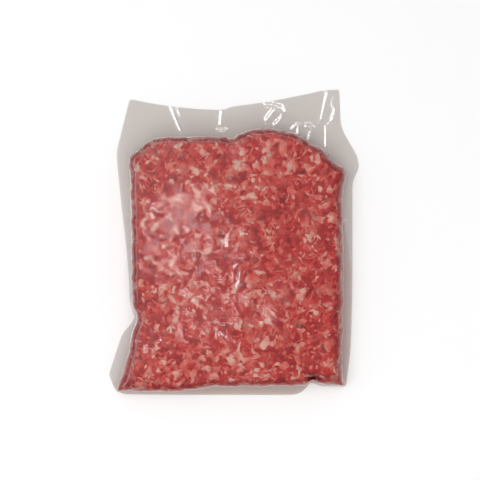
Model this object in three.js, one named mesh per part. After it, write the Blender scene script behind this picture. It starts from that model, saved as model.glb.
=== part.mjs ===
// A vacuum-sealed pouch of coarse sausage meat, lying on its back. A flat block of minced meat fills most of the
// pouch, and its two clear films are welded to each other in a thin margin all round the block.
// Millimetres, +Z up, +Y towards the pouch's mouth. The origin is on the resting face, under the pouch's middle.

import * as THREE from "three";
import { ParametricGeometry } from "three/addons/geometries/ParametricGeometry.js";
import { mergeVertices } from "three/addons/utils/BufferGeometryUtils.js";

// Driving dimensions.
const POUCH_WIDTH = 200;
const POUCH_LENGTH = 245;
const BLOCK_HEIGHT = 32;
const SEAM_HEIGHT = 3.2; // where the two films meet beside the block
const REST_HEIGHT = 1.1; // where a wide margin's middle comes to lie
const MARGIN_THICKNESS = 1; // both films and the slack between them
const LEAST_MARGIN = 1.5; // where the films are drawn tight round the meat
const TOP_EDGE_RUN = 6; // how far in from its outline the block reaches its full height
const RIGHT_EDGE = { run: 11, from: 60, whole: 82 }; // its right side slopes more, from x = `from` to `whole`
const UNDER_EDGE_RUN = 4; // how far in from its outline the block stands on its flat base
const EDGE_SQUARENESS = 2.6; // of its rounded edges, whose section is a superellipse
const SETTLE_RUN = 42; // how far out from the block a margin takes to come to rest, ever more gently

// Each outline is a ring of corners, counter-clockwise from the mouth's right end: x and y as shares of half the
// pouch's width and length, then the corner's rounding and the sag of the edge that follows it, in millimetres.
const POUCH_CORNERS = [
  [0.84, 1.0, 1.5, 0], // right end of the mouth
  [0.735, 0.996, 5, 1], // its edge sags where the block takes up film
  [-0.03, 0.884, 3, 0], // a fold steps the mouth's edge down
  [-0.1, 0.862, 4, 1.7],
  [-0.835, 0.936, 2, 0], // left end of the mouth
  [-0.941, 0.584, 6, 0], // left shoulder
  [-0.911, 0.325, 12, 0],
  [-0.838, -0.203, 20, 0],
  [-0.834, -0.392, 5, 0], // the left side is drawn in to the meat
  [-0.79, -0.503, 2, 0],
  [-0.895, -0.602, 5, 0], // and flares into the ear at the foot
  [-1.0, -0.866, 2, 0],
  [-0.95, -0.968, 3, 0], // left end of the foot
  [-0.88, -0.995, 3, 0],
  [-0.48, -1.0, 10, 0],
  [0.53, -1.0, 8, 0],
  [0.61, -0.916, 2.5, 0], // the foot is tucked up beside its right corner
  [0.7, -0.943, 3, 0],
  [0.892, -0.945, 2, 0], // right end of the foot
  [0.931, -0.701, 12, 0],
  [0.945, -0.303, 20, 0],
  [0.944, 0.389, 4, 0],
  [1.0, 0.494, 4, 0], // right shoulder
  [0.982, 0.564, 4, 0],
  [0.852, 0.748, 8, 0],
];
const MEAT_CORNERS = [
  [0.369, 0.738, 16, 0], // crown of the right lobe
  [0.166, 0.738, 9, 0],
  [0.049, 0.71, 4, 0],
  [-0.012, 0.67, 3, 0], // the dip between the two lobes
  [-0.098, 0.687, 4, 0], // left lobe
  [-0.625, 0.683, 6, 0],
  [-0.727, 0.62, 5, 0],
  [-0.833, 0.558, 3, 0],
  [-0.816, 0.206, 20, 0],
  [-0.81, -0.405, 5, 0],
  [-0.764, -0.485, 3, 0],
  [-0.813, -0.6, 6, 0],
  [-0.838, -0.732, 10, 0],
  [-0.933, -0.968, 1.5, 0], // meat fills the ear down to a point
  [-0.422, -0.973, 10, 0],
  [-0.199, -0.94, 8, 0],
  [0.572, -0.934, 2, 0],
  [0.622, -0.888, 2, 0], // the tuck
  [0.702, -0.931, 3, 0],
  [0.874, -0.933, 2, 0],
  [0.856, -0.814, 8, 0],
  [0.871, -0.304, 30, 0],
  [0.861, 0.348, 4, 0],
  [0.896, 0.44, 3, 0],
  [0.878, 0.479, 4, 0],
  [0.775, 0.527, 6, 0],
  [0.714, 0.598, 6, 0],
  [0.612, 0.639, 8, 0],
  [0.531, 0.693, 9, 0],
];

// The block's upper face is lumpy: low waves, each with a height, a length and a heading in degrees.
const LUMPS = [
  { height: 0.35, length: 92, heading: 25, phase: 0.6 },
  { height: 0.3, length: 61, heading: 110, phase: 2.1 },
  { height: 0.25, length: 43, heading: 160, phase: 4.0 },
];
const LUMPS_HEIGHT = LUMPS.reduce((sum, { height }) => sum + height, 0);
const CROWN = { fall: 3.5, across: 80, along: 105 }; // how far that face falls at those distances from its middle
// A groove runs down from the dip between the lobes.
const GROOVE = { x: -4, top: 84, foot: 25, depth: 3, width: 9 };

// The mouth's margin is long and slack. It waves from side to side, and ever more from y = `from` up to `whole`.
const RIPPLE = { height: 0.25, length: 47, phase: 0.9, reach: 26, from: 49, whole: 93 };

// Stations from the middle of a face (-1) to the meat's outline (0) and on to the pouch's rim (1).
const MARGIN_STATIONS = [0, 0.33, 0.67, 1];
const UPPER_STATIONS = [-1, -0.83, -0.66, -0.5, -0.36, -0.24, -0.15, -0.09, -0.055, -0.03, -0.012, ...MARGIN_STATIONS];
const UNDER_STATIONS = [-1, -0.2, -0.1, -0.04, -0.015, ...MARGIN_STATIONS];
const AROUND = 180;
const OUTLINE_STEPS = 480;
const MERGE_WITHIN = 1e-4;

/** The ring of points along a rounded outline. */
function outline(corners) {
  const at = corners.map(([x, y]) => new THREE.Vector2((x * POUCH_WIDTH) / 2, (y * POUCH_LENGTH) / 2));
  const path = new THREE.Path();
  corners.forEach(([, , rounding, sag], i) => {
    const next = (i + 1) % corners.length;
    const along = at[next].clone().sub(at[i]).normalize();
    const start = at[i].clone().addScaledVector(along, rounding);
    const end = at[next].clone().addScaledVector(along, -corners[next][2]);
    if (i === 0) path.moveTo(start.x, start.y);
    else path.quadraticCurveTo(at[i].x, at[i].y, start.x, start.y);
    const inwards = new THREE.Vector2(-along.y, along.x);
    const control = start.clone().add(end).multiplyScalar(0.5).addScaledVector(inwards, 2 * sag);
    path.quadraticCurveTo(control.x, control.y, end.x, end.y);
  });
  const first = path.curves[0].v0;
  path.quadraticCurveTo(at[0].x, at[0].y, first.x, first.y);
  return path.getSpacedPoints(OUTLINE_STEPS).slice(0, -1);
}

const pouchRing = outline(POUCH_CORNERS);
const meatRing = outline(MEAT_CORNERS);
const meatEdges = meatRing.map((a, i) => {
  const b = meatRing[(i + 1) % meatRing.length];
  return new THREE.Line3(new THREE.Vector3(a.x, a.y, 0), new THREE.Vector3(b.x, b.y, 0));
});

/** How far along a ray from the origin a ring lies. */
function radiusOf(ring, ray) {
  let furthest = 0;
  ring.forEach((a, i) => {
    const b = ring[(i + 1) % ring.length];
    const [sideA, sideB] = [ray.cross(a), ray.cross(b)];
    if (sideA > 0 === sideB > 0) return;
    const share = sideA / (sideA - sideB);
    furthest = Math.max(furthest, ray.dot(a) * (1 - share) + ray.dot(b) * share);
  });
  return furthest;
}

/** How far a point lies from the meat's outline. */
function distanceToMeatEdge(point) {
  const nearest = new THREE.Vector3();
  const spot = new THREE.Vector3(point.x, point.y, 0);
  return meatEdges.reduce((least, edge) => {
    edge.closestPointToPoint(spot, true, nearest);
    return Math.min(least, nearest.distanceTo(spot));
  }, Infinity);
}

/** A rounded rise from 0 at the outline to 1 at the end of its run. */
function roundedRise(distance, run) {
  const left = 1 - Math.min(distance / run, 1);
  return (1 - left ** EDGE_SQUARENESS) ** (1 / EDGE_SQUARENESS);
}

function blockTop(x, y) {
  const waves = LUMPS.map(({ height, length, heading, phase }) => {
    const turn = THREE.MathUtils.degToRad(heading);
    const along = x * Math.cos(turn) + y * Math.sin(turn);
    return height * Math.sin((2 * Math.PI * along) / length + phase);
  });
  const lumps = waves.reduce((sum, wave) => sum + wave, 0) - LUMPS_HEIGHT;
  const down = THREE.MathUtils.smoothstep(y, GROOVE.foot, GROOVE.top);
  const groove = GROOVE.depth * down * Math.exp(-(((x - GROOVE.x) / GROOVE.width) ** 2));
  const crown = CROWN.fall * ((x / CROWN.across) ** 2 + (y / CROWN.along) ** 2);
  return BLOCK_HEIGHT + lumps - groove - crown;
}

/** The height of the margin's middle, at a distance out from the meat. */
function marginHeight(x, y, out) {
  const { smoothstep } = THREE.MathUtils;
  const slack = smoothstep(y, RIPPLE.from, RIPPLE.whole) * smoothstep(out, 0, RIPPLE.reach);
  const ripple = RIPPLE.height * slack * Math.sin((2 * Math.PI * x) / RIPPLE.length + RIPPLE.phase);
  const unsettled = (1 - Math.min(out / SETTLE_RUN, 1)) ** 2;
  return REST_HEIGHT + (SEAM_HEIGHT - REST_HEIGHT) * unsettled + ripple;
}

/** The surface's height at a station of the upper face (side 1) or the under face (side -1). */
function height(station, point, side) {
  const away = distanceToMeatEdge(point);
  if (station >= 0) return marginHeight(point.x, point.y, away) + (side * MARGIN_THICKNESS) / 2;
  const seam = SEAM_HEIGHT + (side * MARGIN_THICKNESS) / 2;
  if (side < 0) return seam * (1 - roundedRise(away, UNDER_EDGE_RUN));
  const sloping = THREE.MathUtils.smoothstep(point.x, RIGHT_EDGE.from, RIGHT_EDGE.whole);
  const run = THREE.MathUtils.lerp(TOP_EDGE_RUN, RIGHT_EDGE.run, sloping);
  return seam + (blockTop(point.x, point.y) - seam) * roundedRise(away, run);
}

// One closed surface: out over the under face, round the rim, and back in over the upper face.
const spokes = Array.from({ length: AROUND }, (_, i) => {
  const ray = pouchRing[Math.round((i * pouchRing.length) / AROUND)].clone().normalize();
  const meat = radiusOf(meatRing, ray);
  const rim = Math.max(radiusOf(pouchRing, ray), meat + LEAST_MARGIN);
  return { ray, meat, rim };
});
const under = UNDER_STATIONS.map((station) => [station, -1]);
const upper = UPPER_STATIONS.toReversed().map((station) => [station, 1]);
const across = [...under, ...upper];

function surface(u, v, target) {
  const { ray, meat, rim } = spokes[Math.round(u * AROUND) % AROUND];
  const [station, side] = across[Math.round(v * (across.length - 1))];
  const radius = station < 0 ? meat * (1 + station) : meat + (rim - meat) * station;
  const point = ray.clone().multiplyScalar(radius);
  target.set(point.x, point.y, height(station, point, side));
}

/** Makes up for what rounding its corners takes off the pouch, and puts the origin under its middle. */
function fitToPouch(geometry) {
  geometry.computeBoundingBox();
  const size = geometry.boundingBox.getSize(new THREE.Vector3());
  const middle = geometry.boundingBox.getCenter(new THREE.Vector3());
  geometry.translate(-middle.x, -middle.y, 0);
  geometry.scale(POUCH_WIDTH / size.x, POUCH_LENGTH / size.y, 1);
}

function sealedBag() {
  const raw = new ParametricGeometry(surface, AROUND, across.length - 1);
  raw.deleteAttribute("normal");
  raw.deleteAttribute("uv");
  const geometry = mergeVertices(raw, MERGE_WITHIN);
  fitToPouch(geometry);
  geometry.computeVertexNormals();
  const material = new THREE.MeshStandardMaterial({ color: 0xb55d58, roughness: 0.3, metalness: 0 });
  const mesh = new THREE.Mesh(geometry, material);
  mesh.name = "sealed_bag";
  return mesh;
}

const part = new THREE.Group();
part.add(sealedBag());

export default part;
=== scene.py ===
"""The looks of a vacuum-sealed pouch of coarse sausage meat, lying on its back on a pale floor.

The pouch is one clear film, drawn tight over a block of minced meat and lying slack in the margins round
it. The meat is a core of fine mince under some thousands of real grains of five kinds, from deep red lean
to pale fat.

The pouch's lengths are in millimetres until a mesh is made, and those of the lamps, the camera, the floor
and the materials are in metres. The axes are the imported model's own: x to the right, y towards the
pouch's mouth, z up.
"""

import math

import bmesh
import bpy
import numpy as np
from mathutils import Matrix, Vector
from mathutils.bvhtree import BVHTree


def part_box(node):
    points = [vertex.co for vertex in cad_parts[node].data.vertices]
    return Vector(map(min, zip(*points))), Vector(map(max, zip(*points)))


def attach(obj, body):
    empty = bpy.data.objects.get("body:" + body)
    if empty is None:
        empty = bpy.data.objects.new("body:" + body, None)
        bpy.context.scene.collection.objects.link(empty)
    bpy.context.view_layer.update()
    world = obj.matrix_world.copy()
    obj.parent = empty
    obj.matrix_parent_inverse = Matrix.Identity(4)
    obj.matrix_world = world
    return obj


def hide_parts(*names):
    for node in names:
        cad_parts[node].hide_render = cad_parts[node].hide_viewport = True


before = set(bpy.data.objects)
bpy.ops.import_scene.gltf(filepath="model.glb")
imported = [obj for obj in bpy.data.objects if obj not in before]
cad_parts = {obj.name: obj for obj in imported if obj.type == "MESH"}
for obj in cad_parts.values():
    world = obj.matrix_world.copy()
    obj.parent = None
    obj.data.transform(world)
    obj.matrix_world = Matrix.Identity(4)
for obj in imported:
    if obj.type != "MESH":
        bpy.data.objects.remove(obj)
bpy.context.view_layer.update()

BAG = "sealed_bag"
BODY = "root"
MM = 0.001

bag_low, bag_high = (np.array(corner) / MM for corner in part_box(BAG))
MIDDLE = (bag_low + bag_high)[:2] / 2
HALF = (bag_high - bag_low)[:2] / 2

# ------------------------------------------------------------------------------------------------------
# The pouch's form
# ------------------------------------------------------------------------------------------------------

# Each outline is a ring of corners, counter-clockwise from the mouth's right end: x and y as shares of
# half the pouch's width and length, then in millimetres the corner's rounding and the sag of the edge
# that follows it.
POUCH_CORNERS = [
    (0.84, 1.0, 1.5, 0),  # right end of the mouth
    (0.735, 0.996, 5, 1),  # its edge sags where the block takes up film
    (-0.03, 0.884, 3, 0),  # a fold steps the mouth's edge down
    (-0.1, 0.862, 4, 1.7),
    (-0.835, 0.936, 2, 0),  # left end of the mouth
    (-0.941, 0.584, 6, 0),  # left shoulder
    (-0.911, 0.325, 12, 0),
    (-0.838, -0.203, 20, 0),
    (-0.834, -0.392, 5, 0),  # the left side is drawn in to the meat
    (-0.79, -0.503, 2, 0),
    (-0.895, -0.602, 5, 0),  # and flares into the ear at the foot
    (-1.0, -0.866, 2, 0),
    (-0.95, -0.968, 3, 0),  # left end of the foot
    (-0.88, -0.995, 3, 0),
    (-0.48, -1.0, 10, 0),
    (0.53, -1.0, 8, 0),
    (0.61, -0.916, 2.5, 0),  # the foot is tucked up beside its right corner
    (0.7, -0.943, 3, 0),
    (0.892, -0.945, 2, 0),  # right end of the foot
    (0.931, -0.701, 12, 0),
    (0.945, -0.303, 20, 0),
    (0.944, 0.389, 4, 0),
    (1.0, 0.494, 4, 0),  # right shoulder
    (0.982, 0.564, 4, 0),
    (0.852, 0.748, 8, 0),
]
MEAT_CORNERS = [
    (0.369, 0.738, 16, 0),  # crown of the right lobe
    (0.166, 0.738, 9, 0),
    (0.049, 0.71, 4, 0),
    (-0.012, 0.67, 3, 0),  # the dip between the two lobes
    (-0.098, 0.687, 4, 0),  # left lobe
    (-0.625, 0.683, 6, 0),
    (-0.727, 0.62, 5, 0),
    (-0.833, 0.558, 3, 0),
    (-0.816, 0.206, 20, 0),
    (-0.81, -0.405, 5, 0),
    (-0.764, -0.485, 3, 0),
    (-0.813, -0.6, 6, 0),
    (-0.838, -0.732, 10, 0),
    (-0.933, -0.968, 1.5, 0),  # meat fills the ear down to a point
    (-0.422, -0.973, 10, 0),
    (-0.199, -0.94, 8, 0),
    (0.572, -0.934, 2, 0),
    (0.622, -0.888, 2, 0),  # the tuck
    (0.702, -0.931, 3, 0),
    (0.874, -0.933, 2, 0),
    (0.856, -0.814, 8, 0),
    (0.871, -0.304, 30, 0),
    (0.861, 0.348, 4, 0),
    (0.896, 0.44, 3, 0),
    (0.878, 0.479, 4, 0),
    (0.775, 0.527, 6, 0),
    (0.714, 0.598, 6, 0),
    (0.612, 0.639, 8, 0),
    (0.531, 0.693, 9, 0),
]
EDGE_STEPS = 60  # points along each edge of an outline
ROUNDING_STEPS = 12  # points round each of its corners
OUTLINE_STEPS = 900  # points of the whole ring, once they are spaced evenly

# The meat bulges unevenly behind its film: waves along its outline, each with a height and a length.
BUMPS = [(0.3, 23), (0.22, 11), (0.16, 6.3)]

BLOCK_HEIGHT = bag_high[2]
SEAM_HEIGHT = 3.2  # where the two films meet beside the block
REST_HEIGHT = 1.1  # where a wide margin's middle comes to lie
SETTLE_RUN = 42  # how far out from the block a margin takes to come to rest, ever more gently
FILM_GAP = 0.6  # between the two films in the margin
WELD_RUN = 8  # how far in from the rim the films part
LEAST_MARGIN = 1.5  # how narrow the margin may get
TOP_EDGE_RUN = 6  # how far in from its outline the block reaches its full height
UNDER_EDGE_RUN = 4  # and how far in it comes to rest on the floor
RIGHT_EDGE = {"run": 11, "from": 60, "whole": 82}  # its right side slopes more, from one x to the other
EDGE_SQUARENESS = 2.6  # of its rounded edges, whose section is a superellipse

# The block's upper face is lumpy: low waves, each with a height, a length, a heading in degrees and a
# phase. It falls from its middle, by so much at these distances from it, and a groove runs down from the
# dip between the lobes.
LUMPS = [(0.35, 92, 25, 0.6), (0.3, 61, 110, 2.1), (0.25, 43, 160, 4.0)]
CROWN = {"fall": 3.5, "across": 80, "along": 105}
GROOVE = {"x": -4, "top": 84, "foot": 25, "depth": 3, "width": 9}

# The foot is tucked up beside its right corner, and a fold goes in there: its middle, half its size and
# its depth.
TUCK = {"x": 62.5, "y": -107.2, "wide": 5, "high": 1.7, "depth": 14}

# The mouth's margin is long and slack. It waves from side to side, ever more from one y to the other and
# out to its reach from the meat.
RIPPLE = {"height": 0.25, "length": 47, "phase": 0.9, "reach": 26, "from": 49, "whole": 93}

# Creases of the upper film, each a ridge along a line of points: half width, steepness and the points.
CREASES = [
    # In the mouth's margin, from left to right.
    (3.0, 0.1, [(-70.0, 99.5), (-68.0, 88.5)]),
    (3.0, 0.33, [(-48.5, 107.0), (-46.3, 101.5), (-41.4, 89.8)]),
    (3.0, 0.1, [(-34.0, 102.5), (-32.0, 91.5)]),
    (3.0, 0.1, [(-25.0, 101.5), (-23.0, 90.5)]),
    (2.4, 0.37, [(-8.8, 106.0), (-10.0, 95.0)]),
    (1.5, 0.3, [(-13.0, 90.0), (-6.5, 90.0)]),
    (3.5, 0.1, [(9.0, 100.5), (8.0, 92.5)]),
    (2.4, 0.31, [(25.9, 110.0), (33.0, 109.0), (36.8, 107.0)]),
    (2.8, 0.37, [(36.8, 107.0), (39.3, 103.5), (39.3, 100.5), (37.5, 97.2), (33.5, 94.0)]),
    (3.2, 0.37, [(33.0, 105.2), (27.3, 98.0)]),
    (1.8, 0.38, [(46.8, 90.3), (50.4, 93.6)]),
    (2.0, 0.5, [(52.3, 93.0), (52.3, 87.5)]),
    (2.2, 0.55, [(59.0, 93.2), (62.9, 90.0), (60.5, 82.0)]),
    (3.5, 0.1, [(60.0, 108.5), (56.0, 98.5)]),
    (3.2, 0.47, [(76.5, 120.5), (74.0, 109.5), (71.7, 99.3)]),
    (3.0, 0.52, [(79.0, 113.0), (82.0, 107.8), (82.0, 104.5), (80.0, 98.5)]),
    (1.5, 0.3, [(68.0, 95.8), (79.0, 94.0)]),
    (2.4, 0.5, [(74.9, 91.2), (74.7, 77.0)]),
    (2.2, 0.55, [(74.7, 77.0), (76.8, 71.0)]),
    # In the right margin.
    (2.6, 0.56, [(89.8, 14.9), (90.8, 10.9)]),
    # On the meat, where the film stands clear of it: first a hook.
    (2.6, 0.44, [(2.4, -19.0), (4.4, -22.8), (5.2, -26.0), (5.4, -31.0), (3.8, -34.8)]),
    (2.4, 0.42, [(-4.0, 4.0), (-4.0, -3.0)]),
    (1.6, 0.42, [(-24.6, 21.0), (-24.6, 18.0)]),
    (1.8, 0.62, [(-14.0, -63.4), (-7.9, -66.5)]),
    (2.4, 0.62, [(-11.5, -72.8), (0.5, -80.2)]),
    (1.6, 0.62, [(-56.7, -77.4), (-50.6, -81.8)]),
    (1.6, 0.62, [(-68.0, -82.7), (-62.8, -86.5)]),
    (1.6, 0.52, [(-64.5, 26.3), (-59.3, 22.5)]),
]


def bezier(start, control, end, steps):
    """Points along a quadratic curve, without its end."""
    t = np.linspace(0, 1, steps, endpoint=False)[:, None]
    return (1 - t) ** 2 * start + 2 * t * (1 - t) * control + t**2 * end


def outline(corners):
    """The evenly spaced ring of points along the rounded outline that a table of corners gives."""
    at = np.array([corner[:2] for corner in corners]) * HALF
    pieces = []
    for i, (_, _, rounding, sag) in enumerate(corners):
        j = (i + 1) % len(corners)
        next_rounding = corners[j][2]
        along = (at[j] - at[i]) / np.linalg.norm(at[j] - at[i])
        inwards = np.array([-along[1], along[0]])
        start = at[i] + along * rounding
        end = at[j] - along * next_rounding
        pieces.append(bezier(start, (start + end) / 2 + 2 * sag * inwards, end, EDGE_STEPS))
        after = at[(j + 1) % len(corners)] - at[j]
        leave = at[j] + after / np.linalg.norm(after) * next_rounding
        pieces.append(bezier(end, at[j], leave, ROUNDING_STEPS))
    path = np.concatenate(pieces + [pieces[0][:1]])
    run = np.concatenate([[0], np.cumsum(np.linalg.norm(np.diff(path, axis=0), axis=1))])
    wanted = np.linspace(0, run[-1], OUTLINE_STEPS, endpoint=False)
    return np.column_stack([np.interp(wanted, run, path[:, axis]) for axis in (0, 1)])


def fitted(pouch, meat):
    """The two outlines stretched alike, so that the pouch's fills the CAD pouch's box."""
    low, high = pouch.min(0), pouch.max(0)
    stretch = 2 * HALF / (high - low)
    return [(ring - (low + high) / 2) * stretch + MIDDLE for ring in (pouch, meat)]


def bulging(ring):
    """A ring with bumps along it."""
    ahead = np.roll(ring, -1, axis=0) - np.roll(ring, 1, axis=0)
    step = np.linalg.norm(ahead, axis=1) / 2
    turns = 2 * math.pi * np.cumsum(step) / step.sum()
    bulge = sum(height * np.sin(round(step.sum() / length) * turns + length) for height, length in BUMPS)
    outwards = np.column_stack([ahead[:, 1], -ahead[:, 0]]) / (2 * step[:, None])
    return ring + outwards * bulge[:, None]


pouch_ring, meat_ring = fitted(outline(POUCH_CORNERS), outline(MEAT_CORNERS))
meat_ring = bulging(meat_ring)


def radius_along(ring, directions):
    """How far a ring lies from the origin along each direction."""
    angles = np.arctan2(ring[:, 1], ring[:, 0])
    order = np.argsort(angles)
    return np.interp(
        np.arctan2(directions[:, 1], directions[:, 0]),
        angles[order],
        np.linalg.norm(ring[order], axis=1),
        period=2 * math.pi,
    )


def distance_to(line, spots, closed=True):
    """How far each spot lies from a ring of points, or from a line of them that isn't closed."""
    ends = np.roll(line, -1, axis=0) if closed else line[1:]
    least = np.full(len(spots), np.inf)
    for a, b in zip(line, ends):
        along = b - a
        share = np.clip((spots - a) @ along / (along @ along), 0, 1)
        away = spots - a - share[:, None] * along
        least = np.minimum(least, (away**2).sum(1))
    return np.sqrt(least)


def smoothstep(x, low, high):
    """A rise from 0 at low to 1 at high, level at both ends."""
    t = np.clip((x - low) / (high - low), 0, 1)
    return t * t * (3 - 2 * t)


def rounded_rise(distance, run):
    """A rise from 0 at the outline to 1 at the end of its run."""
    left = 1 - np.minimum(distance / run, 1)
    return (1 - left**EDGE_SQUARENESS) ** (1 / EDGE_SQUARENESS)


def wave(x, y, length, heading, phase):
    """A wave from -1 to 1 that runs along a heading in degrees."""
    turn = math.radians(heading)
    return np.sin(2 * math.pi * (x * math.cos(turn) + y * math.sin(turn)) / length + phase)


def block_top(x, y):
    """The height of the block's upper face, away from its edges."""
    lumps = sum(height * (wave(x, y, *rest) - 1) for height, *rest in LUMPS)
    down = smoothstep(y, GROOVE["foot"], GROOVE["top"])
    groove = GROOVE["depth"] * down * np.exp(-(((x - GROOVE["x"]) / GROOVE["width"]) ** 2))
    crown = CROWN["fall"] * ((x / CROWN["across"]) ** 2 + (y / CROWN["along"]) ** 2)
    off_tuck = ((x - TUCK["x"]) / TUCK["wide"]) ** 2 + ((y - TUCK["y"]) / TUCK["high"]) ** 2
    return BLOCK_HEIGHT + lumps - groove - crown - TUCK["depth"] * np.exp(-off_tuck)


def edge_run(x):
    """How far in from its outline the block reaches its full height, at each x."""
    sloping = smoothstep(x, RIGHT_EDGE["from"], RIGHT_EDGE["whole"])
    return TOP_EDGE_RUN + (RIGHT_EDGE["run"] - TOP_EDGE_RUN) * sloping


def margin_height(x, y, out):
    """The height of the margin's middle, at a distance out from the meat."""
    slack = smoothstep(y, RIPPLE["from"], RIPPLE["whole"]) * smoothstep(out, 0, RIPPLE["reach"])
    ripple = RIPPLE["height"] * slack * np.sin(2 * math.pi * x / RIPPLE["length"] + RIPPLE["phase"])
    unsettled = (1 - np.minimum(out / SETTLE_RUN, 1)) ** 2
    return REST_HEIGHT + (SEAM_HEIGHT - REST_HEIGHT) * unsettled + ripple


def crease_height(spots):
    """How far the upper film's creases lift it."""
    total = np.zeros(len(spots))
    for half_width, steepness, line in CREASES:
        away = distance_to(np.array(line), spots, closed=False)
        total = np.maximum(total, steepness * half_width * np.exp(-((away / half_width) ** 2)))
    return total


# ------------------------------------------------------------------------------------------------------
# Meshes
# ------------------------------------------------------------------------------------------------------

SIDE_SHARE = 1.2  # how far in the close rings of a side reach, for how far in its slope goes

# The sheets of the skin and the film: the columns and rows of a sheet's patch, and its rings over the
# block, down the block's side and in the margin.
SKIN_TOP = (112, 136, 9, 14, 0)
SKIN_UNDER = (56, 68, 6, 8, 0)
FILM_TOP = (132, 160, 9, 15, 22)
FILM_UNDER = (66, 80, 6, 7, 11)


def mesh_object(name, vertices, faces):
    """A smooth mesh object from vertices in millimetres."""
    mesh = bpy.data.meshes.new(name)
    mesh.from_pydata((np.asarray(vertices) * MM).tolist(), [], faces)
    mesh.validate()
    mesh.polygons.foreach_set("use_smooth", np.ones(len(mesh.polygons), bool))
    mesh.update()
    thing = bpy.data.objects.new(name, mesh)
    bpy.context.scene.collection.objects.link(thing)
    return thing


def positions(thing):
    """An object's vertices, in millimetres."""
    flat = np.empty(len(thing.data.vertices) * 3)
    thing.data.vertices.foreach_get("co", flat)
    return flat.reshape(-1, 3) / MM


def normals(thing):
    """The normals at an object's vertices."""
    flat = np.empty(len(thing.data.vertices) * 3)
    thing.data.vertex_normals.foreach_get("vector", flat)
    return flat.reshape(-1, 3)


def move_vertices(thing, places):
    """Moves an object's vertices to places in millimetres."""
    thing.data.vertices.foreach_set("co", (places * MM).ravel())
    thing.data.update()


def mark(thing, name, values):
    """Gives each vertex a named value."""
    layer = thing.data.attributes.new(name, "FLOAT", "POINT")
    layer.data.foreach_set("value", values)


def marks(thing, name):
    """The named value of each vertex."""
    values = np.empty(len(thing.data.vertices))
    thing.data.attributes[name].data.foreach_get("value", values)
    return values


def edge_ends(thing):
    """The two vertices of each of an object's edges."""
    flat = np.empty(len(thing.data.edges) * 2, int)
    thing.data.edges.foreach_get("vertices", flat)
    return flat.reshape(-1, 2)


def tree_of(thing):
    """An object's faces in a form that finds the nearest one, or the first one along a ray."""
    return BVHTree.FromObject(thing, bpy.context.evaluated_depsgraph_get())


class Plan:
    """A sheet's plan: a patch of squares in the middle, and rings of squares from it out to the rim.

    The first vertices are the patch's, row by row, and then come each ring's, counter-clockwise.
    """

    REACH = 0.73  # the patch's share of the way to the meat's outline
    CORNERS_IN = 0.4  # how far the patch's corners are rounded, from 0, square, to 1, a circle

    def __init__(self, columns, rows, inner_rings, side_rings, margin_rings, slope):
        self.xy, edge = self.patch(columns, rows)
        self.patch_size = len(self.xy)
        self.around = len(edge)

        # Each spoke runs from the patch's edge over the meat's outline to the pouch's.
        start = self.xy[edge]
        inner = np.linalg.norm(start, axis=1)
        heading = start / inner[:, None]
        meat = radius_along(meat_ring, heading)
        rim = np.maximum(radius_along(pouch_ring, heading), meat + LEAST_MARGIN)
        depths = slope * SIDE_SHARE * (1 - np.cos(np.linspace(math.pi / 2, 0, side_rings)))
        side_starts = meat - depths[0]
        inner_shares = np.linspace(0, 1, inner_rings + 1)[1:-1]
        margin_shares = np.linspace(0, 1, margin_rings + 1)[1:]
        radii = [inner + (side_starts - inner) * share for share in inner_shares]
        radii += [meat - depth for depth in depths]
        self.meat_ring = len(radii) - 1
        radii += [meat + (rim - meat) * share for share in margin_shares]
        self.rings = len(radii)
        self.xy = np.concatenate([self.xy] + [heading * radius[:, None] for radius in radii])

        corner = (np.arange(rows)[:, None] * (columns + 1) + np.arange(columns)).ravel()
        above = corner + columns + 1
        faces = [np.column_stack([corner, corner + 1, above + 1, above])]
        inside = edge
        for i in range(self.rings):
            outside = self.ring(i)
            faces.append(np.column_stack([inside, outside, np.roll(outside, -1), np.roll(inside, -1)]))
            inside = outside
        self.faces = np.concatenate(faces)
        self.rim = inside

        on_outline = self.ring(self.meat_ring)
        self.outside = np.where(np.arange(len(self.xy)) < on_outline[0], -1.0, 1.0)
        self.outside[on_outline] = 0
        self.away = distance_to(meat_ring, self.xy)
        self.away[on_outline] = 0

    def patch(self, columns, rows):
        """The places of the patch's vertices, and the indices of those along its edge."""
        wide = columns + 1
        grid = np.meshgrid(np.linspace(-1, 1, wide), np.linspace(-1, 1, rows + 1))
        u, v = (values.ravel() for values in grid)
        ways = np.array([(-1, 0), (1, 0), (0, -1), (0, 1)])
        left, right, foot, head = self.REACH * radius_along(meat_ring, ways)
        across = u * np.sqrt(1 - self.CORNERS_IN * v**2 / 2)
        up = v * np.sqrt(1 - self.CORNERS_IN * u**2 / 2)
        x, y = across * np.where(u < 0, left, right), up * np.where(v < 0, foot, head)
        edge = [
            np.arange(0, columns),
            np.arange(columns, columns + wide * rows, wide),
            np.arange(wide * rows + columns, wide * rows, -1),
            np.arange(wide * rows, 0, -wide),
        ]
        return np.column_stack([x, y]), np.concatenate(edge)

    def ring(self, i):
        """The indices of a ring's vertices."""
        return self.patch_size + i * self.around + np.arange(self.around)


def closed(over, under, over_z, under_z):
    """The vertices and faces of an upper and an under sheet, joined at the upper one's rim.

    The under sheet has half the upper one's squares round its rim, and its own rim is left out.
    """
    kept = len(under.xy) - under.around
    top = np.column_stack([over.xy, over_z])
    bottom = np.column_stack([under.xy, under_z])[:kept]
    inside = under.ring(under.rings - 2)
    faces = under.faces[(under.faces < kept).all(1)][:, ::-1] + len(top)
    last, after = inside + len(top), np.roll(inside, -1) + len(top)
    even, odd, beyond = over.rim[::2], over.rim[1::2], np.roll(over.rim[::2], -1)
    bridge = np.column_stack([odd, even, last, after]).tolist()
    wedge = np.column_stack([beyond, odd, after]).tolist()
    return np.concatenate([top, bottom]), over.faces.tolist() + faces.tolist() + bridge + wedge


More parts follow.
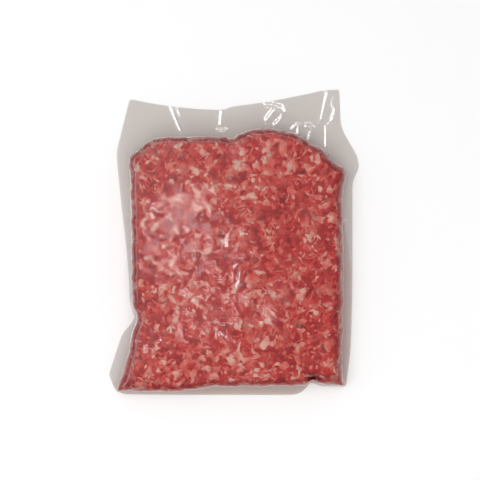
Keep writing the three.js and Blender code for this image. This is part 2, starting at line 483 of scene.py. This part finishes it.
def skin():
    """The smooth closed surface of the block, which the film lies on and the meat fills."""
    over = Plan(*SKIN_TOP, TOP_EDGE_RUN)
    under = Plan(*SKIN_UNDER, UNDER_EDGE_RUN)
    rise = rounded_rise(over.away, edge_run(over.xy[:, 0]))
    over_z = SEAM_HEIGHT + (block_top(*over.xy.T) - SEAM_HEIGHT) * rise
    under_z = SEAM_HEIGHT * (1 - rounded_rise(under.away, UNDER_EDGE_RUN))
    return mesh_object("skin", *closed(over, under, over_z, under_z))


# ------------------------------------------------------------------------------------------------------
# The meat
# ------------------------------------------------------------------------------------------------------

CORE_DEPTH = 0.5  # the core's depth under the skin
CORE_RELIEF = [(0.16, 4.5), (0.12, 2.4)]  # its fine mince: waves, each with a height and a length
CORE_SHARES = (0.25, 0.1)  # the depth's and the relief's most, as shares of the room behind the skin
CORE_LEAST_DEPTH = 0.05

# Each kind of grain: its share of the grains, its usual width and how much that varies, how long it is
# for its width, half its usual thickness, and how deep under the skin it may lie.
KINDS = {
    "lean": dict(share=0.36, width=5.0, varies=0.26, stretch=(1.0, 1.9), thick=0.6, sunk=0.2),
    "mixed": dict(share=0.25, width=4.4, varies=0.25, stretch=(1.0, 2.3), thick=0.6, sunk=0.16),
    "fat": dict(share=0.2, width=3.6, varies=0.38, stretch=(1.0, 2.1), thick=0.5, sunk=0.12),
    "chunks": dict(share=0.005, width=7.5, varies=0.2, stretch=(1.0, 1.7), thick=0.6, sunk=0.08),
    "strands": dict(share=0.19, width=1.6, varies=0.2, stretch=(2.5, 5.0), thick=0.4, sunk=0.1),
}

# Where the upper face's largest pieces of fat lie, from the mouth down to the foot.
FAT_PIECES = [(-77, 59), (-63, 67), (8, 57), (17, 59), (38, 73), (46, 62), (58, 57), (72, 30), (78, 17)]
FAT_PIECES += [(18, 36), (-48, 32), (-31, 29), (-26, 5), (-20, -6), (12, -26), (10, -49), (53, -41)]
FAT_PIECES += [(63, -56), (-54, -38), (27, -79), (51, -71), (-2, -93), (-25, -93), (-62, -66)]
FAT_PIECES += [(-45, -105), (73, -98)]

SEED = 11
CANDIDATES = 90000  # random spots, from which those that keep their spacing are taken
GRAIN_SPACING = 2.75
SPACING_VARIES = (0.75, 1.25)
UNDER_SPACING = 1.3  # how much wider the spacing is on the under side
UNDER_FACING = -0.7  # the under side is where the skin's normal points down more than this

SEGMENTS = 12  # of a grain's rings
RING_ANGLES = (34, 62, 90)  # of a grain, from its top
RIM_BLEND = (0.25, 0.7, 1)  # how far each ring of a grain takes on the meat's usual colour
BOXINESS = 0.5  # from 1, round, to 0, a slab with upright sides
THICKNESS_VARIES = (0.8, 1.2)
THICKNESS_SHARE = 0.22  # the most that half a thickness may be, as a share of the room behind the skin
BEND = 0.05  # how much a grain curves sideways
LOBES = (2, 3, 4, 5)  # the waves round a grain's outline
UNEVENNESS = 0.3  # how strong they are
OUTLINE_LIMITS = (0.45, 1.6)  # how far in and out they may take the outline
RAGGEDNESS = (0.94, 1.06)  # how far in and out each vertex may lie besides

OPEN_ROOM = 50.0  # the room behind the skin where no opposite side is found
RAY_START = 0.05  # how deep inside the skin the ray that looks for it starts
NOISE_WAVES = 6
NOISE_SPREAD = (0.7, 1.4)  # how often the waves of a noise come, for the usual of its size


def random_spots(thing, count, rng):
    """Random spots on an object's faces, evenly spread by area, with the faces' normals."""
    mesh = thing.data
    mesh.calc_loop_triangles()
    corners = np.empty(len(mesh.loop_triangles) * 3, int)
    mesh.loop_triangles.foreach_get("vertices", corners)
    a, b, c = np.moveaxis(positions(thing)[corners.reshape(-1, 3)], 1, 0)
    cross = np.cross(b - a, c - a)
    area = np.linalg.norm(cross, axis=1)
    picked = rng.choice(len(area), count, p=area / area.sum())
    s, t = rng.random((2, count))
    over = s + t > 1
    s[over], t[over] = 1 - s[over], 1 - t[over]
    spots = a[picked] + (b - a)[picked] * s[:, None] + (c - a)[picked] * t[:, None]
    return spots, cross[picked] / area[picked][:, None]


def is_free(spot, room, neighbours):
    """Whether a spot keeps its spacing from its neighbours, given as x, y, z and their own spacing."""
    for x, y, z, other in neighbours:
        squared_gap = (x - spot[0]) ** 2 + (y - spot[1]) ** 2 + (z - spot[2]) ** 2
        if squared_gap < room * other:
            return False
    return True


def spread_out(spots, spacing):
    """Indices of spots that keep a spacing from each other, taken first come first served."""
    cells, kept = {}, []
    keys = np.floor(spots / spacing.max()).astype(int)
    near = [(i, j, k) for i in (-1, 0, 1) for j in (-1, 0, 1) for k in (-1, 0, 1)]
    for index, (key, spot, room) in enumerate(zip(keys.tolist(), spots.tolist(), spacing.tolist())):
        cells_near = (cells.get((key[0] + i, key[1] + j, key[2] + k), ()) for i, j, k in near)
        if all(is_free(spot, room, neighbours) for neighbours in cells_near):
            cells.setdefault(tuple(key), []).append((*spot, room))
            kept.append(index)
    return np.array(kept)


def room_behind(tree, spots, facing):
    """How far each spot's opposite side lies, straight back through the meat."""
    room = np.full(len(spots), OPEN_ROOM)
    for i, (spot, normal) in enumerate(zip(spots, facing)):
        start = Vector((spot - normal * RAY_START) * MM)
        place, _, _, far = tree.ray_cast(start, Vector(-normal))
        if place is not None:
            room[i] = far / MM
    return room


def noise3(spots, size, seed):
    """A cheap smooth noise from about -1 to 1, with features of about the given size."""
    rng = np.random.default_rng(seed)
    total = np.zeros(len(spots))
    for _ in range(NOISE_WAVES):
        heading = rng.normal(0, 1, 3)
        heading /= np.linalg.norm(heading)
        often = rng.uniform(*NOISE_SPREAD)
        phase = rng.uniform(0, 2 * math.pi)
        total += np.sin(spots @ heading * 2 * math.pi / size * often + phase)
    return total / (NOISE_WAVES / 2)


def grain_faces():
    """The faces of one grain: a vertex on top, rings of vertices, and a vertex underneath."""
    ring = [1 + i * SEGMENTS + np.arange(SEGMENTS) for i in range(len(RING_ANGLES))]
    last = 1 + len(RING_ANGLES) * SEGMENTS
    faces = [(0, a, b) for a, b in zip(ring[0], np.roll(ring[0], -1))]
    for upper, lower in zip(ring, ring[1:]):
        faces += zip(upper, lower, np.roll(lower, -1), np.roll(upper, -1))
    faces += [(last, b, a) for a, b in zip(ring[-1], np.roll(ring[-1], -1))]
    return faces


def repeated(faces, count, vertices):
    """The faces of one grain, repeated for a count of grains with so many vertices each."""
    one = np.array([list(face) + [face[0]] * (4 - len(face)) for face in faces])
    every = (one[None] + (np.arange(count) * vertices)[:, None, None]).reshape(-1, 4)
    return [face[:3] if face[0] == face[3] else face for face in every.tolist()]


def grain_shapes(kind, room, rng):
    """The vertices of flat grains: along and across the skin and, below 0, under it."""
    count = len(room)
    width = kind["width"] * rng.lognormal(0, kind["varies"], count)
    length = width * rng.uniform(*kind["stretch"], count)
    thick = np.minimum(kind["thick"] * rng.uniform(*THICKNESS_VARIES, count), THICKNESS_SHARE * room)
    sunk = rng.uniform(0, kind["sunk"], count)
    rng.random(count)  # not used, and drawn so that the draws after it stay what they were
    bend = rng.normal(0, BEND, count)

    theta = np.radians(RING_ANGLES)
    phi = np.linspace(0, 2 * math.pi, SEGMENTS, endpoint=False)
    spread = np.sin(theta) ** BOXINESS
    height = np.sign(np.cos(theta)) * np.abs(np.cos(theta)) ** BOXINESS
    uneven = np.zeros((count, SEGMENTS))
    for lobes in LOBES:
        strength = rng.normal(0, UNEVENNESS / math.sqrt(lobes), (count, 1))
        uneven += strength * np.cos(lobes * phi + rng.uniform(0, 2 * math.pi, (count, 1)))
    uneven = np.clip(1 + uneven, *OUTLINE_LIMITS)
    reach = uneven[:, None, :] * spread[None, :, None]
    reach = reach * rng.uniform(*RAGGEDNESS, reach.shape)

    def with_ends(values, top, under):
        """Each grain's ring vertices between its top and its under one."""
        return np.column_stack([np.full(count, top), values.reshape(count, -1), np.full(count, under)])

    u = with_ends(reach * np.cos(phi) * length[:, None, None] / 2, 0.0, 0.0)
    v = with_ends(reach * np.sin(phi) * width[:, None, None] / 2, 0.0, 0.0)
    h = with_ends(np.tile(np.repeat(height, SEGMENTS), (count, 1)), 1.0, -1.0)
    return u, v + bend[:, None] * u**2, (h - 1) * thick[:, None] - sunk[:, None]


def grains(name, spots, facing, room, kind, skin_tree, rng):
    """One kind's grains, pressed flat against the skin from inside."""
    count = len(spots)
    u, v, h = grain_shapes(kind, room, rng)

    # The grain is laid out in the plane that touches the skin, and then wrapped onto the skin.
    side = np.cross(facing, rng.normal(0, 1, (count, 3)))
    side /= np.linalg.norm(side, axis=1)[:, None]
    other = np.cross(facing, side)
    laid = spots[:, None] + u[..., None] * side[:, None] + v[..., None] * other[:, None]
    vertices = laid.shape[1]
    wrapped = np.empty((count * vertices, 3))
    for i, (spot, depth) in enumerate(zip(laid.reshape(-1, 3), h.ravel())):
        place, normal, _, _ = skin_tree.find_nearest(Vector(spot * MM))
        wrapped[i] = np.array(place) / MM + np.array(normal) * depth
    thing = mesh_object(name, wrapped, repeated(grain_faces(), count, vertices))
    mark(thing, "tone", np.repeat(rng.random(count), vertices))
    mark(thing, "rim", np.tile([0, *np.repeat(RIM_BLEND, SEGMENTS), 1], count))
    return thing


def core(skin_thing, skin_tree):
    """The fine mince that the grains lie on."""
    places, facing = positions(skin_thing), normals(skin_thing)
    room = room_behind(skin_tree, places, facing)
    depth_share, relief_share = CORE_SHARES
    relief = sum(height * noise3(places, length, seed) for seed, (height, length) in enumerate(CORE_RELIEF))
    depth = np.minimum(CORE_DEPTH, depth_share * room) + np.minimum(relief, relief_share * room)
    places = places - facing * np.maximum(depth, CORE_LEAST_DEPTH)[:, None]
    return mesh_object("core", places, [list(face.vertices) for face in skin_thing.data.polygons])


def meat(skin_thing, skin_tree):
    """The core and each kind of grain, by name."""
    rng = np.random.default_rng(SEED)
    spots, facing = random_spots(skin_thing, CANDIDATES, rng)
    wider = np.where(facing[:, 2] < UNDER_FACING, UNDER_SPACING, 1)
    kept = spread_out(spots, GRAIN_SPACING * rng.uniform(*SPACING_VARIES, len(spots)) * wider)
    spots, facing = spots[kept], facing[kept]
    room = room_behind(skin_tree, spots, facing)
    shares = np.array([kind["share"] for kind in KINDS.values()])
    picked = rng.choice(len(KINDS), len(spots), p=shares / shares.sum())
    upper = np.flatnonzero(facing[:, 2] > 0)
    for place in FAT_PIECES:
        nearest = upper[np.linalg.norm(spots[upper, :2] - place, axis=1).argmin()]
        picked[nearest] = list(KINDS).index("chunks")
    made = {"core": core(skin_thing, skin_tree)}
    for i, (name, kind) in enumerate(KINDS.items()):
        mine = picked == i
        made[name] = grains(name, spots[mine], facing[mine], room[mine], kind, skin_tree, rng)
    return made


# ------------------------------------------------------------------------------------------------------
# The film
# ------------------------------------------------------------------------------------------------------

FILM_CLEARANCE = 0.12  # between the film and the grains it lies on
FILM_REACH = 2.2  # how far the film is looked for over the grains
FILM_DRAW = (-1.2, 0.8)  # how far the grains may draw it in and push it out
SMOOTHINGS = 12  # rounds in which the drawn film is evened out
FILM_RELIEF = [(0.1, 16, 434), (0.05, 8, 909)]  # its own waves, each with a height, a length and a seed
FAINT = 0.2  # the steepness up to which a crease needs no finer squares
SPLIT_REACHES = (5, 3.5)  # how far round a crease the squares are split, first once and then again
UPPER_SIDE = -0.5  # the mark "side" is over this on the upper film and the rim
ON_LINE = 0.001  # the marks "side" and "outside" are nearer to 0 than this on the line between sides

# The films: each one's tint, its refractive index and the roughnesses of its two glosses.
FILMS = {
    "tight": ((0.97, 0.965, 0.96), 1.45, (0.12, 0.26)),  # over and under the meat
    "side": ((0.8, 0.82, 0.83), 1.4, (0.3, 0.45)),  # on the block's sides, where it is finely crumpled, and darker there: painted shade on the sides
    "lifted": ((0.97, 0.965, 0.96), 1.7, (0.14, 0.28)),  # on a crease, clear of the meat
    "slack": ((0.876, 0.859, 0.846), 1.7, (0.1, 0.2)),  # in the margins
    "red_bounce": ((0.853, 0.811, 0.793), 1.7, (0.1, 0.2)),  # in the margins near the meat: painted red bounce light and shade from the meat
}
CRUMPLED_SHADED_RUN = 6  # how far in from the meat's outline the crumpled film of the sides, with its painted shade, goes
LIFTED = 0.15  # how high a crease on the meat stands where the film is clear of it

# Where the margins get painted red bounce light and shade from the meat: below the foot's y, and right of
# an x out to a run from the meat, which is nothing at the shoulder's y and whole at a lower one.
RED_BOUNCE = {"foot": -112, "right": 75, "shoulder": 32, "whole": -28, "run": 6}


def highest_near(values, pairs):
    """Each vertex's value or its neighbours' highest."""
    highest = values.copy()
    np.maximum.at(highest, pairs[:, 0], values[pairs[:, 1]])
    return highest


def smoothed(values, pairs, rounds, free):
    """Values evened out with their neighbours'. Those that aren't free stay."""
    count = np.maximum(np.bincount(pairs[:, 0], minlength=len(values)), 1)
    for _ in range(rounds):
        around = np.bincount(pairs[:, 0], weights=values[pairs[:, 1]], minlength=len(values)) / count
        values = np.where(free, (values + around) / 2, values)
    return values


def split_near(thing, lines, reach):
    """Splits in four each face of the upper film near some lines of points."""
    form = bmesh.new()
    form.from_mesh(thing.data)
    side = form.verts.layers.float["side"]
    faces = [face for face in form.faces if min(vertex[side] for vertex in face.verts) > UPPER_SIDE]
    middles = np.array([face.calc_center_median()[:2] for face in faces]) / MM
    near = np.zeros(len(faces), bool)
    for line in lines:
        near |= distance_to(np.array(line), middles, closed=False) < reach
    edges = {edge for face, is_near in zip(faces, near) if is_near for edge in face.edges}
    in_order = sorted(edges, key=lambda edge: edge.index)
    bmesh.ops.subdivide_edges(form, edges=in_order, cuts=1, use_grid_fill=True)
    form.to_mesh(thing.data)
    form.free()


def flat_film():
    """The film's mesh laid out flat, with finer squares along its creases.

    The mark "side" is 1 on the upper film, -1 on the under film and 0 on the rim that joins them, and
    the mark "outside" is 1 in the margin, -1 over and under the meat and 0 on the meat's outline.
    """
    over = Plan(*FILM_TOP, TOP_EDGE_RUN)
    under = Plan(*FILM_UNDER, UNDER_EDGE_RUN)
    vertices, faces = closed(over, under, np.zeros(len(over.xy)), np.zeros(len(under.xy)))
    thing = mesh_object("film", vertices, faces)
    side = np.where(np.arange(len(vertices)) < len(over.xy), 1.0, -1.0)
    side[over.rim] = 0
    mark(thing, "side", side)
    mark(thing, "outside", np.concatenate([over.outside, under.outside])[: len(vertices)])
    lines = [line for _, steepness, line in CREASES if steepness > FAINT]
    for reach in SPLIT_REACHES:
        split_near(thing, lines, reach)
    return thing


def film_kind(in_margin, away, lift, x, y):
    """Which film a face has. Away is how far it is from the meat's outline, lift its crease's height."""
    if in_margin:
        # Near the meat's right side and along the foot the margin film is tinted pinker and darker: painted
        # red bounce light and shade.
        run = RED_BOUNCE["run"] * smoothstep(-y, -RED_BOUNCE["shoulder"], -RED_BOUNCE["whole"])
        red_bounce = y < RED_BOUNCE["foot"] or (x > RED_BOUNCE["right"] and away < run)
        return "red_bounce" if red_bounce else "slack"
    if lift > LIFTED:
        return "lifted"
    # The film of the block's sides is tinted darker: painted shade on the sides.
    return "side" if away < CRUMPLED_SHADED_RUN else "tight"


def film_draw(trees, places, facing, lies_on):
    """How far out to the grains each vertex that lies on them has to go."""
    offset = np.zeros(len(places))
    for i in np.flatnonzero(lies_on):
        start = Vector((places[i] + facing[i] * FILM_REACH) * MM)
        nearest = 2 * FILM_REACH * MM
        for tree in trees:
            place, _, _, far = tree.ray_cast(start, Vector(-facing[i]), nearest)
            if place is not None:
                nearest = min(nearest, far)
        offset[i] = FILM_REACH - nearest / MM + FILM_CLEARANCE
    return np.clip(offset, *FILM_DRAW)


def film(meat_pieces):
    """The pouch: smooth at first, then drawn down onto the grains, with its own relief and its creases."""
    thing = flat_film()
    spots = positions(thing)[:, :2]
    side = marks(thing, "side")
    outside = marks(thing, "outside")
    in_margin = outside > -ON_LINE
    away = distance_to(meat_ring, spots)
    gap = FILM_GAP / 2 * side * smoothstep(distance_to(pouch_ring, spots), 0, WELD_RUN)
    crease = crease_height(spots) * (1 + side) / 2
    margin = margin_height(*spots.T, away) + gap + crease
    seam = SEAM_HEIGHT + gap
    rise = rounded_rise(away, edge_run(spots[:, 0]))
    over = seam + (block_top(*spots.T) - seam) * rise
    under = seam * (1 - rounded_rise(away, UNDER_EDGE_RUN))
    height = np.where(in_margin, margin, np.where(side > 0, over, under))
    move_vertices(thing, np.column_stack([spots, height]))

    ends = edge_ends(thing)
    sharp = (np.abs(side[ends]) < ON_LINE).all(1) | (np.abs(outside[ends]) < ON_LINE).all(1)
    thing.data.edges.foreach_set("use_edge_sharp", sharp)
    kinds = list(FILMS)
    for face in thing.data.polygons:
        own = list(face.vertices)
        x, y = spots[own].mean(0)
        kind = film_kind(in_margin[own].any(), away[own].min(), crease[own].min(), x, y)
        face.material_index = kinds.index(kind)

    places, facing = positions(thing), normals(thing)
    lies_on = ~in_margin & (side > 0)
    offset = film_draw([tree_of(piece) for piece in meat_pieces], places, facing, lies_on)
    pairs = np.concatenate([ends, ends[:, ::-1]])
    offset = smoothed(highest_near(offset, pairs), pairs, SMOOTHINGS, lies_on)
    relief = sum(high * (1 + noise3(places, length, seed)) for high, length, seed in FILM_RELIEF)
    offset += np.where(lies_on, crease * rise + relief, 0)
    move_vertices(thing, places + facing * offset[:, None])
    return thing


# ------------------------------------------------------------------------------------------------------
# Materials
# ------------------------------------------------------------------------------------------------------

# The meat's colours from the deepest lean to the palest fat, and the stretch of them that each kind's
# grains have between them. The core has no grains, so it starts from one place.
MEAT_COLOURS = [
    (0.0, (148, 16, 19)),
    (0.25, (176, 32, 31)),
    (0.5, (194, 68, 59)),
    (0.75, (198, 109, 97)),
    (1.0, (205, 158, 144)),
]
FATNESS = {
    "core": (0.1, 0.1),
    "lean": (0.0, 0.4),
    "mixed": (0.25, 0.7),
    "fat": (0.65, 1.0),
    "chunks": (0.75, 1.0),
    "strands": (0.4, 0.85),
}
USUAL_FATNESS = 0.45
RIM_SHARE = 0.95  # how far a grain's rim takes on the usual fatness

# How the fatness drifts within and across the grains: noises, each with a scale, a detail and a share.
MARBLING = [(35, 2.0, 0.7), (150, 1.5, 1.25), (620, 2.0, 0.15)]
SHADE = (240, 2.0, 0.32)  # painted light and shade that drifts at random over the meat: a noise's scale, its detail and its share
GRAIN_BUMP = (1500, 2.0)  # the finest unevenness: a noise's scale and its detail
NOISE_ROUGHNESS = 0.6

LEAN_SCATTER = 0.001  # how far light spreads inside the lean
FAT_SCATTER = 0.0004  # and inside the fat, less because thin pieces would lose their red through the back


def srgb(red, green, blue):
    """A colour given in sRGB from 0 to 255, as linear values."""
    values = np.array([red, green, blue]) / 255
    linear = np.where(values <= 0.04045, values / 12.92, ((values + 0.055) / 1.055) ** 2.4)
    return (*linear.tolist(), 1.0)


class Nodes:
    """A material's node tree, with short ways to add and join nodes."""

    def __init__(self, name):
        self.material = bpy.data.materials.new(name)
        self.material.use_nodes = True
        self.tree = self.material.node_tree
        self.tree.nodes.clear()
        self.output = self.add("ShaderNodeOutputMaterial")

    def add(self, kind, settings=None, **inputs):
        """A new node. Its inputs go by name, with _ for a space, or as _0, _1 and so on by number."""
        node = self.tree.nodes.new(kind)
        for key, value in (settings or {}).items():
            setattr(node, key, value)
        for key, value in inputs.items():
            socket = node.inputs[int(key[1:])] if key[0] == "_" else node.inputs[key.replace("_", " ")]
            self.set(socket, value)
        return node

    def set(self, socket, value):
        """Links an input to another node's output, or gives it a value of its own."""
        if isinstance(value, bpy.types.NodeSocket):
            self.tree.links.new(value, socket)
        else:
            socket.default_value = value

    def surface(self, shader):
        """Makes a shader node the material's surface."""
        self.set(self.output.inputs["Surface"], shader.outputs[0])

    def math(self, operation, a, b=0.0, c=0.0):
        """The result of an operation on two or three numbers."""
        return self.add("ShaderNodeMath", {"operation": operation}, _0=a, _1=b, _2=c).outputs[0]

    def mark(self, name):
        """The value that the mesh's vertices are marked with."""
        return self.add("ShaderNodeAttribute", {"attribute_name": name}).outputs["Fac"]

    def ramp(self, factor, stops):
        """A colour from a row of places and colours."""
        node = self.add("ShaderNodeValToRGB", Fac=factor)
        ramp = node.color_ramp
        while len(ramp.elements) < len(stops):
            ramp.elements.new(0.5)
        for element, (place, colour) in zip(ramp.elements, stops):
            element.position, element.color = place, colour
        return node.outputs["Color"]

    def noise(self, scale, detail):
        """A noise in the object's own space, in waves to the metre."""
        where = self.add("ShaderNodeTexCoord").outputs["Object"]
        inputs = {"Vector": where, "Scale": scale, "Detail": detail, "Roughness": NOISE_ROUGHNESS}
        return self.add("ShaderNodeTexNoise", **inputs).outputs["Fac"]

    def multiply(self, colour, light):
        """A colour made darker or lighter. A mix node takes colours at 6 and 7 and gives one at 2."""
        settings = {"data_type": "RGBA", "blend_type": "MULTIPLY"}
        return self.add("ShaderNodeMix", settings, Factor=1.0, _6=colour, _7=light).outputs[2]


def meat_material(name, stretch):
    """Raw meat, with the fatness of one kind of grain."""
    nodes = Nodes(name)
    low, high = stretch
    own = nodes.math("MULTIPLY_ADD", nodes.mark("tone"), high - low, low)
    blend = nodes.math("MULTIPLY", nodes.mark("rim"), RIM_SHARE)
    fatness = nodes.math("MULTIPLY_ADD", blend, nodes.math("SUBTRACT", USUAL_FATNESS, own), own)
    for scale, detail, share in MARBLING:
        drift = nodes.math("SUBTRACT", nodes.noise(scale, detail), 0.5)
        fatness = nodes.math("MULTIPLY_ADD", drift, share, fatness)
    colour = nodes.ramp(fatness, [(place, srgb(*stop)) for place, stop in MEAT_COLOURS])
    scale, detail, share = SHADE
    # The meat's colour is made darker and lighter by a noise: painted light and shade.
    light = nodes.math("MULTIPLY_ADD", nodes.noise(scale, detail), share, 1 - share / 2)
    bump = nodes.add("ShaderNodeBump", Strength=0.2, Distance=0.0003, Height=nodes.noise(*GRAIN_BUMP))
    shader = nodes.add(
        "ShaderNodeBsdfPrincipled",
        Base_Color=nodes.multiply(colour, light),
        Roughness=0.5,
        Specular_IOR_Level=0.2,
        Subsurface_Weight=0.75,
        Subsurface_Radius=(0.8, 0.75, 0.7),
        Subsurface_Scale=FAT_SCATTER if low > USUAL_FATNESS else LEAN_SCATTER,
        Normal=bump.outputs["Normal"],
    )
    nodes.surface(shader)
    return nodes.material


def film_material(name, tint, index, roughnesses):
    """A clear film with a tint, a refractive index, and a sharp and a soft gloss in equal parts.

    Its gloss is on its outer side only, because seen from behind the film would mirror all that it
    meets at a low angle.
    """
    nodes = Nodes(name)
    clear = nodes.add("ShaderNodeBsdfTransparent", Color=(*tint, 1))
    sharp, soft = (
        nodes.add("ShaderNodeBsdfAnisotropic", {"distribution": "GGX"}, Color=(1, 1, 1, 1), Roughness=rough)
        for rough in roughnesses
    )
    gloss = nodes.add("ShaderNodeMixShader", _0=0.5, _1=sharp.outputs[0], _2=soft.outputs[0])
    fresnel = nodes.add("ShaderNodeFresnel", IOR=index)
    behind = nodes.add("ShaderNodeNewGeometry").outputs["Backfacing"]
    share = nodes.math("MULTIPLY", fresnel.outputs[0], nodes.math("SUBTRACT", 1.0, behind))
    nodes.surface(nodes.add("ShaderNodeMixShader", _0=share, _1=clear.outputs[0], _2=gloss.outputs[0]))
    return nodes.material


# ------------------------------------------------------------------------------------------------------
# The studio
# ------------------------------------------------------------------------------------------------------

FLOOR_SIZE = 6
FLOOR_COLOUR = (0.9, 0.9, 0.9, 1)

CAMERA_LENS = 112  # in millimetres, as Blender has it
CAMERA_HEIGHT = 1.2
CAMERA_AIM = (0.0048, 0.0017)

WORLD_COLOUR = (1, 1, 1, 1)
WORLD_STRENGTH = 0.53

# Each lamp: its place, its two sides, its power in watts and the heading of its first side in degrees.
# The overhead lamp lights everything and isn't mirrored. The others are mirrored in the film's gloss and
# light nothing: windows that catch its creases, and sheens that lie over parts of the meat.
OVERHEAD = ((-0.18, -0.2, 1.3), (1.6, 1.6), 15.5, 0)
MIRRORED = {
    "left_window": ((-0.8, 0.08, 1.05), (1.1, 0.3), 13, 90),
    "corner_window": ((-0.43, 0.74, 1.05), (0.5, 0.26), 4.2, 30),
    "top_window": ((0.2, 0.78, 1.05), (0.9, 0.24), 6.5, 0),
    "sheen": ((-0.185, 0.03, 1.25), (0.2, 0.087), 0.5, -21),
    "left_sheen": ((-0.258, 0.051, 1.25), (0.113, 0.06), 0.06, 106),
    "low_sheen": ((-0.033, -0.167, 1.25), (0.063, 0.113), 0.32, 30),
}


def floor():
    """A wide pale floor under the pouch."""
    bpy.ops.mesh.primitive_plane_add(size=FLOOR_SIZE, location=(0, 0, 0))
    plane = bpy.context.object
    plane.name = "floor"
    nodes = Nodes("pale_floor")
    nodes.surface(nodes.add("ShaderNodeBsdfPrincipled", Base_Color=FLOOR_COLOUR, Roughness=0.9))
    plane.data.materials.append(nodes.material)


def camera():
    """The camera, which looks straight down."""
    data = bpy.data.cameras.new("camera")
    data.lens = CAMERA_LENS
    thing = bpy.data.objects.new("camera", data)
    thing.location = (*CAMERA_AIM, CAMERA_HEIGHT)
    bpy.context.scene.collection.objects.link(thing)
    bpy.context.scene.camera = thing


def lamp(name, place, size, power, heading):
    """A rectangular lamp that faces the pouch."""
    data = bpy.data.lights.new(name, "AREA")
    data.shape = "RECTANGLE"
    data.size, data.size_y = size
    data.energy = power
    thing = bpy.data.objects.new(name, data)
    thing.location = place
    turn = math.radians(heading)
    back = Vector(place).normalized()
    side = back.cross(Vector((math.cos(turn), math.sin(turn), 0))).normalized()
    thing.rotation_euler = Matrix((side.cross(back), side, back)).transposed().to_euler()
    bpy.context.scene.collection.objects.link(thing)
    return thing


def studio():
    """The soft light that comes from all round, and the lamps."""
    world = bpy.data.worlds.new("studio")
    world.use_nodes = True
    background = world.node_tree.nodes["Background"]
    background.inputs["Color"].default_value = WORLD_COLOUR
    background.inputs["Strength"].default_value = WORLD_STRENGTH
    bpy.context.scene.world = world
    lamp("overhead", *OVERHEAD).visible_glossy = False
    for name, settings in MIRRORED.items():
        lamp(name, *settings).visible_diffuse = False
    bpy.context.scene.view_settings.view_transform = "Standard"


# ------------------------------------------------------------------------------------------------------
# The scene
# ------------------------------------------------------------------------------------------------------

skin_thing = skin()
meat_pieces = meat(skin_thing, tree_of(skin_thing))
film_piece = film(meat_pieces.values())
bpy.data.objects.remove(skin_thing)

for name, piece in meat_pieces.items():
    piece.data.materials.append(meat_material(name, FATNESS[name]))
    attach(piece, BODY)
    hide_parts(BAG)
for name, looks in FILMS.items():
    film_piece.data.materials.append(film_material(f"{name}_film", *looks))
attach(film_piece, BODY)
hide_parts(BAG)

floor()
camera()
studio()
